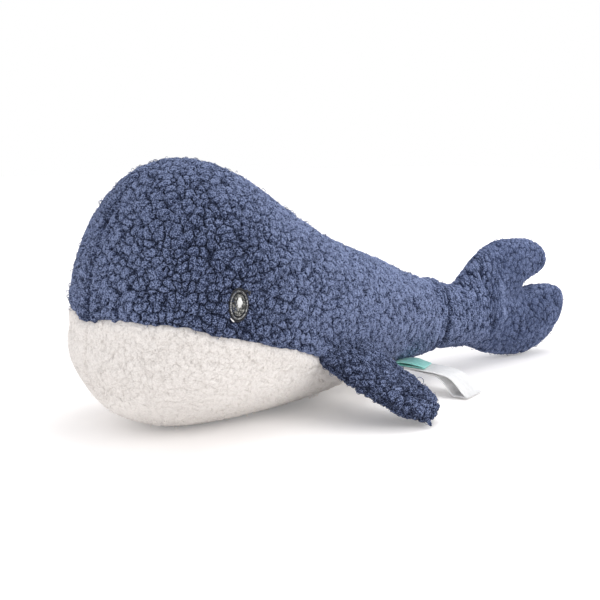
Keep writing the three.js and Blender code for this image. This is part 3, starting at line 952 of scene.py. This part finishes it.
def tubes(paths, radius, sides=5):
    """Round threads along many paths of equal point counts: points and polygon groups."""
    paths = np.asarray(paths, float)
    count, steps, _ = paths.shape
    heading = unit(np.gradient(paths, axis=1))
    guide = np.where(np.abs(heading[..., 2:3]) < 0.8, [[[0, 0, 1.0]]], [[[1.0, 0, 0]]])
    across = unit(np.cross(heading, guide))
    lift = np.cross(across, heading)
    turn = np.arange(sides) / sides * 2 * math.pi
    ends = np.ones(steps)
    ends[0] = ends[-1] = 0.55
    size = np.broadcast_to(np.asarray(radius, float).reshape(-1, 1, 1, 1), (count, 1, 1, 1))
    ring = across[:, :, None] * np.cos(turn)[:, None] + lift[:, :, None] * np.sin(turn)[:, None]
    points = (paths[:, :, None] + ring * size * ends[:, None, None]).reshape(-1, 3)
    base = (np.arange(count) * steps * sides)[:, None, None]
    step = np.arange(steps - 1)[None, :, None] * sides
    side = np.arange(sides)[None, None, :]
    after = (side + 1) % sides
    here, there = base + step, base + step + sides
    quads = np.stack([here + side, there + side, there + after, here + after], -1).reshape(-1, 4)
    first = base[:, 0] + np.arange(sides)
    last = (base[:, 0] + (steps - 1) * sides + np.arange(sides))[:, ::-1]
    return points, [quads, np.concatenate([first, last])]


CURL_STEPS, CURL_SIDES = 7, 4


def loose_curls(name, points, normals, count, salt, hold, cloth, tones=(0, 1), place=None):
    """Short arched fibres scattered over the pile, with a lowest tone and a span of tones."""
    chance = np.random.default_rng(salt)
    chosen = chance.integers(0, len(points), count)
    base, up = points[chosen], normals[chosen]
    side = unit(np.cross(up, chance.normal(size=(count, 3))))
    other = np.cross(up, side)
    length = chance.uniform(1.2, 3.0, (count, 1, 1)) * MM
    rise = (0.35 + 1.7 * chance.uniform(0, 1, (count, 1, 1)) ** 3) * MM
    sway = chance.uniform(-0.8, 0.8, (count, 1, 1)) * MM
    share = np.linspace(0, 1, CURL_STEPS)[None, :, None]
    paths = base[:, None] - side[:, None] * length / 2 * np.cos(math.pi * share)
    paths = paths + other[:, None] * sway * np.sin(2 * math.pi * share)
    paths = paths + up[:, None] * (rise * np.sin(math.pi * share) - 0.35 * MM)
    placed, groups = tubes(paths, chance.uniform(0.1, 0.19, count) * MM, CURL_SIDES)
    shades = np.repeat(chance.uniform(0.3, 0.95, count), CURL_STEPS * CURL_SIDES)
    if place is not None:
        placed, groups = place(placed, groups)
    made = piece(name, on_floor(placed), groups, cloth[0], height=tones[0] + tones[1] * shades)
    hold(made)


for name, chosen, count, salt, cloth, tones in (
    ("body_curls", body.tags < LEFT_BELLY, 4200, SALT.body_curls, BLUE_CLOTH, (0, 1)),
    ("belly_curls", body.tags >= LEFT_BELLY, 1100, SALT.belly_curls, WHITE_CLOTH, (0.6, 0.35)),
):
    used = np.unique(body.quads[chosen])
    loose_curls(name, body_shape[0][used], body.normals[used], count, salt, with_body, cloth, tones)
loose_curls("tail_curls", tail_shape[0], tail.normals, 900, SALT.tail_curls, with_tail, BLUE_CLOTH)
for side, mirror in SIDES:
    loose_curls(
        f"flipper_{side}_curls", flipper_shape[0], flipper.normals, 700, SALT.flipper_curls,
        with_flipper(), BLUE_CLOTH, place=at_flipper(mirror),
    )

# Tuft at the tip and loose loop at the rear edge of the left flipper, in its own frame, in mm
TUFT_START, TUFT_END = np.array((-9.5, 47, -0.5)), np.array((-8, 54, -1.5))
TUFT_STRANDS, TUFT_SPREAD = 5, 0.75
LOOSE_LOOP = (
    (-21.5, 27, 4), (-24.2, 27.2, 5.6), (-26, 28.8, 5.4), (-25.6, 30.4, 4), (-24.4, 30.2, 3.4),
)


def loose_threads():
    """Twisted strands that come to a point, and one thin thread in a loop."""
    share = np.linspace(0, 1, 10)
    spread = TUFT_SPREAD * np.sin(math.pi * (0.2 + 0.8 * share)) ** 0.5
    strands = []
    for phase in np.arange(TUFT_STRANDS) / TUFT_STRANDS * 2 * math.pi:
        strand = TUFT_START + (TUFT_END - TUFT_START) * share[:, None]
        strand[:, 0] += spread * np.cos(phase + 5 * share)
        strand[:, 2] += spread * np.sin(phase + 5 * share)
        strands.append(strand * MM)
    points, groups = tubes(strands, 0.5 * MM, 6)
    knots, along = np.array(LOOSE_LOOP, float), np.linspace(0, 1, 12)
    path = np.stack([spline(knots[:, k], along) for k in range(3)], 1) * MM
    loop, loop_groups = tubes([path], 0.17 * MM, 5)
    groups += [group + len(points) for group in loop_groups]
    return np.concatenate([points, loop]), groups


points, groups = at_flipper(1)(*loose_threads())
tuft = piece("flipper_left_tuft", on_floor(points), groups, blue)
with_flipper()(tuft)


# Eyes

EYE_HALF_TALL = 7.35 * MM
EYE_HALF_WIDE = 4.7 * MM
EYE_TILT = math.radians(6)
# Satin rings from the outside in: inner and outer share, stitches, slant, rise in mm, thread, radius
EYE_RINGS = (
    ("outline", 0.93, 1.07, 60, 0.14, 1.05, dark_thread, 0.24),
    ("rim", 0.79, 0.92, 54, -0.2, 1.25, pale_thread, 0.2),
    ("ring", 0.71, 0.78, 50, 0.22, 1.2, dark_thread, 0.14),
    ("fill", 0.4, 0.71, 40, 0.45, 1.35, grey_thread, 0.22),
    ("heart", 0.05, 0.45, 22, 0.7, 1.3, grey_thread, 0.24),
)
GLINT_HALF_WIDE, GLINT_HALF_TALL, GLINT_UP, GLINT_RISE = 1.1 * MM, 2.9 * MM, 1.2 * MM, 1.8 * MM
PAD_RINGS, PAD_SIDES, PAD_DOME, PAD_SINK = 8, 40, 0.75 * MM, 1.5 * MM
# Loose ends of thread beside the eye, in mm: thread, radius, and (forward, up, lift) along each
THREAD_ENDS = (
    # The dark end is a loose thread made thick and black, so that it also paints the shadow at the upper
    # right of the eye.
    ("dark_end_and_shadow", dark_thread, 0.7, ((-2, 6.5, 1.1), (-3.4, 6.5, 1.8), (-4.6, 6, 1.8), (-5.1, 4.6, 1))),
    ("light_end", light_thread, 0.36, (
        (3.7, -5.9, 0.9), (3.1, -6.7, 1.4), (2.4, -7.3, 1.4), (1.7, -7.7, 0.8),
    )),
)


def eye_plane():
    """Middle of the left eye on the head, and its two directions: forward and up, tilted a little."""
    low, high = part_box("eye_left")
    middle = (low + high) / 2
    seat = settle(body_field, np.array([[middle.x, high.y, middle.z]]))
    normal = unit(gradient(body_field, seat))[0]
    forward = np.array([1.0, 0, 0]) - normal * normal[0]
    forward /= np.linalg.norm(forward)
    up = np.cross(normal, forward)
    up = up if up[2] > 0 else -up
    cos_tilt, sin_tilt = math.cos(EYE_TILT), math.sin(EYE_TILT)
    return seat, np.array([forward * cos_tilt + up * sin_tilt, up * cos_tilt - forward * sin_tilt])


eye_seat, eye_axes = eye_plane()


def on_face(flat, lift):
    """Places on the head from (forward, up) in the eye's own plane, lifted off the cloth."""
    points = settle(body_field, eye_seat + flat.reshape(-1, 2) @ eye_axes, 2)
    points = points + unit(gradient(body_field, points)) * np.asarray(lift).reshape(-1, 1)
    return points.reshape(*flat.shape[:-1], 3)


def satin_ring(inner, outer, count, slant, rise):
    """Stitches that cross an oval ring, each from its inner edge to its outer edge."""
    steps = np.linspace(0, 1, 5)
    share = inner + (outer - inner) * steps
    angle = (np.arange(count) / count * 2 * math.pi)[:, None] + slant * steps
    flat = np.stack([np.cos(angle) * share * EYE_HALF_WIDE, np.sin(angle) * share * EYE_HALF_TALL], -1)
    lift = rise * (0.35 + 0.65 * np.sin(steps * math.pi))
    return on_face(flat, np.broadcast_to(lift, angle.shape))


def glint_stitches():
    """Upright stitches side by side over a small oval."""
    across = np.linspace(-0.94, 0.94, 6)[:, None]
    steps = np.linspace(-1, 1, 6)
    high = np.sqrt(1 - across**2) * steps * GLINT_HALF_TALL + GLINT_UP
    flat = np.stack([np.broadcast_to(across * GLINT_HALF_WIDE, high.shape), high], -1)
    lift = GLINT_RISE * (0.55 + 0.45 * (1 - steps**2))
    return on_face(flat, np.broadcast_to(lift, high.shape))


def eye_pad():
    """Closed domed pad under the stitches."""
    turn = np.arange(PAD_SIDES) / PAD_SIDES * 2 * math.pi
    share = np.linspace(0.06, 1, PAD_RINGS)[:, None]
    flat = np.stack([share * np.cos(turn) * EYE_HALF_WIDE, share * np.sin(turn) * EYE_HALF_TALL], -1)
    top = on_face(flat, np.broadcast_to(PAD_DOME * (1 - share**4), (PAD_RINGS, PAD_SIDES)))
    low = on_face(flat[-1:], np.full((1, PAD_SIDES), -PAD_SINK))
    points = np.concatenate([top.reshape(-1, 3), low.reshape(-1, 3)])
    inner = np.arange(PAD_RINGS * PAD_SIDES).reshape(PAD_RINGS, PAD_SIDES)
    outer = inner + PAD_SIDES
    quads = np.stack([inner, outer, np.roll(outer, -1, axis=1), np.roll(inner, -1, axis=1)], -1)
    return points, [quads.reshape(-1, 4), inner[:1], outer[-1:, ::-1]]


def both_eyes(name, points, groups, material, node_name=None, slot_name="dark_thread"):
    for side, mirror in SIDES:
        made = piece(f"eye_{side}_{name}", *mirrored(points, groups, mirror), material)
        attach(made, "body")
        if node_name:
            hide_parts(node_name.format(side=side))


both_eyes("pad", *eye_pad(), dark_thread, "eye_{side}")
for name, inner, outer, count, slant, rise, thread, radius in EYE_RINGS:
    both_eyes(name, *tubes(satin_ring(inner, outer, count, slant, rise * MM), radius * MM), thread)
glint = tubes(glint_stitches(), 0.27 * MM)
both_eyes("glint", *glint, light_thread, "eye_glint_{side}", slot_name="light_thread")
for name, thread, radius, knots in THREAD_ENDS:
    knots = np.array([knots]) * MM
    path = on_face(knots[..., :2], knots[..., 2])
    both_eyes(name, *tubes(path, radius * MM, 6), thread)


# Labels

LABEL_THICKNESS = 0.4 * MM
LABEL_STEPS, LABEL_ROWS = 40, 13
RIPPLE = 0.25 * MM
label_joint = JOINTS["label_flap"]
label_root = np.array(label_joint["pos_m"])
label_across = np.array(label_joint["axis"])


def ribbon(name, node_name, cloth, width, reach, upper, lower, aim, twist, slide, tilt):
    """A folded ribbon: out along the upper leaf, round the fold and back along the lower one. The
    heights of its leaves, in mm, are at even steps from the seam to the fold. Its near edge runs
    straight, turned by aim from square to the seam and moved by slide along it, its fold is turned
    by twist, and one side sags by tilt."""
    share = np.sin(np.linspace(0, math.pi / 2, LABEL_STEPS))
    share = np.concatenate([share, share[-2::-1]])
    leaf = np.concatenate([np.ones(LABEL_STEPS), -np.ones(LABEL_STEPS - 1)])
    top, bottom = spline(upper, share) * MM, spline(lower, share) * MM
    level = (top + bottom) / 2 + leaf * (top - bottom) / 2 * np.sqrt(1 - share**6)
    seam = math.atan2(label_across[1], label_across[0])
    run = np.array([-math.sin(seam + aim), math.cos(seam + aim), 0])
    heading = seam + twist * smooth(0, 1, share)
    across = np.stack([np.cos(heading), np.sin(heading), np.zeros(len(share))], 1)
    near = label_root + label_across * (slide + width / 2) + (reach * share)[:, None] * run
    rows = []
    for row in np.linspace(1, 0, LABEL_ROWS):
        places = near - across * (row * width)
        sag = tilt * row * share * (1 - 0.6 * share) / 0.4
        ripple = RIPPLE * np.sin(9 * share + 3 * row) * (1 - share)
        places[:, 2] = np.maximum(level - sag + ripple, LABEL_THICKNESS * (1.5 + leaf))
        rows.append(places)
    grid = np.arange(LABEL_ROWS * len(share)).reshape(LABEL_ROWS, len(share))
    quads = np.stack([grid[:-1, :-1], grid[:-1, 1:], grid[1:, 1:], grid[1:, :-1]], -1).reshape(-1, 4)
    made = piece(name, np.concatenate(rows), [quads], cloth[0])
    thick = made.modifiers.new("thickness", "SOLIDIFY")
    thick.thickness = LABEL_THICKNESS
    thick.offset = 0
    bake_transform(made)
    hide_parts(node_name)


ribbon(
    "tab_ribbon", "tab_label", (teal_ribbon, "teal_ribbon"),
    width=17 * MM, reach=19.5 * MM,
    upper=(16.2, 16.9, 17.1, 16.4, 15.7), lower=(15.4, 15.2, 15.3, 15, 14.6),
    aim=math.radians(3), twist=math.radians(9), slide=1 * MM, tilt=0.8 * MM,
)
ribbon(
    "care_ribbon", "care_label", (white_ribbon, "white_ribbon"),
    width=19.5 * MM, reach=46 * MM,
    upper=(14.2, 14.2, 14, 13.4, 11, 2),
    lower=(13.6, 13.5, 13.3, 13, 12.6, 12.1, 11.4, 7.4, 1.4, 0.8, 0.8),
    aim=0, twist=math.radians(-5), slide=0, tilt=0.6 * MM,
)


# Studio

CAMERA_PLACE = Vector((0.3446, 0.4206, 0.1467))
CAMERA_YAW = math.radians(234.865)
CAMERA_DIP = math.radians(9.99)
CAMERA_LENS, CAMERA_SENSOR = 55.63, 36
CAMERA_CLIP = 10 * MM
# Light on the toy from all round, and how the floor glows in the picture, near the toy and far off
WORLD_COLOUR, WORLD_FILL = (0.96, 0.97, 1.0, 1), 0.87
FLOOR_COLOUR, FLOOR_HALF = (0.9, 0.875, 0.86, 1), 3.0
FLOOR_GLOW = {"From Min": 0.22, "From Max": 0.7, "To Min": 0.17, "To Max": 0.5}
# Lamps: name, place, what they point at, size, power
LAMPS = (
    ("top", (-0.3, -0.1, 0.9), (0, 0, 0.05), 0.9, 5),
    ("nose_side", (0.9, 0.05, 0.24), (0.05, 0, 0.04), 0.6, 1.5),
    ("tail_side", (-0.45, 0.9, 0.6), (-0.05, 0, 0.05), 0.7, 4.4),
)
PURE_WHITE = (1, 1, 1, 1)


def seen_straight(tree):
    """1 for what the camera sees straight, in a gloss or through glass, and 0 for light on the toy."""
    path = node(tree, "ShaderNodeLightPath").outputs
    seen = maths(tree, "MAXIMUM", path["Is Camera Ray"], path["Is Glossy Ray"])
    return maths(tree, "MAXIMUM", seen, path["Is Transmission Ray"])


def studio_world():
    world = bpy.data.worlds.new("studio")
    bpy.context.scene.world = world
    world.use_nodes = True
    tree = world.node_tree
    background = tree.nodes["Background"]
    plug(tree, background, {"Color": PURE_WHITE, "Strength": 1})
    fill = node(tree, "ShaderNodeBackground", {"Color": WORLD_COLOUR, "Strength": WORLD_FILL})
    mix = node(tree, "ShaderNodeMixShader", {
        0: seen_straight(tree), 1: fill.outputs[0], 2: background.outputs[0],
    })
    plug(tree, tree.nodes["World Output"], {"Surface": mix.outputs[0]})


def studio_floor():
    """Pale floor that keeps the shadow near the toy and is white away from it."""
    material, tree, shader = plain_material("floor")
    plug(tree, shader, {"Base Color": FLOOR_COLOUR, "Roughness": 0.9, "Specular IOR Level": 0.1})
    place = node(tree, "ShaderNodeTexCoord").outputs["Object"]
    away = node(tree, "ShaderNodeVectorMath", {0: place}, operation="LENGTH").outputs["Value"]
    fade = node(tree, "ShaderNodeMapRange", interpolation_type="SMOOTHSTEP")
    plug(tree, fade, {"Value": away, **FLOOR_GLOW})
    strength = maths(tree, "MULTIPLY", seen_straight(tree), fade.outputs["Result"])
    glow = node(tree, "ShaderNodeEmission", {"Color": PURE_WHITE, "Strength": strength})
    add = node(tree, "ShaderNodeAddShader", {0: shader.outputs[0], 1: glow.outputs[0]})
    plug(tree, tree.nodes["Material Output"], {"Surface": add.outputs[0]})
    corners = np.array([(-1, -1, 0), (1, -1, 0), (1, 1, 0), (-1, 1, 0)]) * FLOOR_HALF
    piece("floor", corners, [np.array([[0, 1, 2, 3]])], material)


def placed(name, data, place, heading):
    """A lamp or a camera that looks along its heading."""
    made = bpy.data.objects.new(name, data)
    made.location = place
    made.rotation_mode = "QUATERNION"
    made.rotation_quaternion = heading.to_track_quat("-Z", "Y")
    bpy.context.scene.collection.objects.link(made)
    return made


def lamp(name, place, target, size, power):
    data = bpy.data.lights.new(name, "AREA")
    data.shape = "DISK"
    data.size = size
    data.energy = power
    placed(name, data, place, Vector(target) - Vector(place))


def camera():
    data = bpy.data.cameras.new("camera")
    data.lens = CAMERA_LENS
    data.sensor_width = CAMERA_SENSOR
    data.clip_start = CAMERA_CLIP
    level = math.cos(CAMERA_DIP)
    heading = Vector((
        math.cos(CAMERA_YAW) * level, math.sin(CAMERA_YAW) * level, -math.sin(CAMERA_DIP),
    ))
    bpy.context.scene.camera = placed("camera", data, CAMERA_PLACE, heading)


camera()
studio_world()
studio_floor()
for row in LAMPS:
    lamp(*row)
bpy.context.scene.view_settings.view_transform = "Standard"
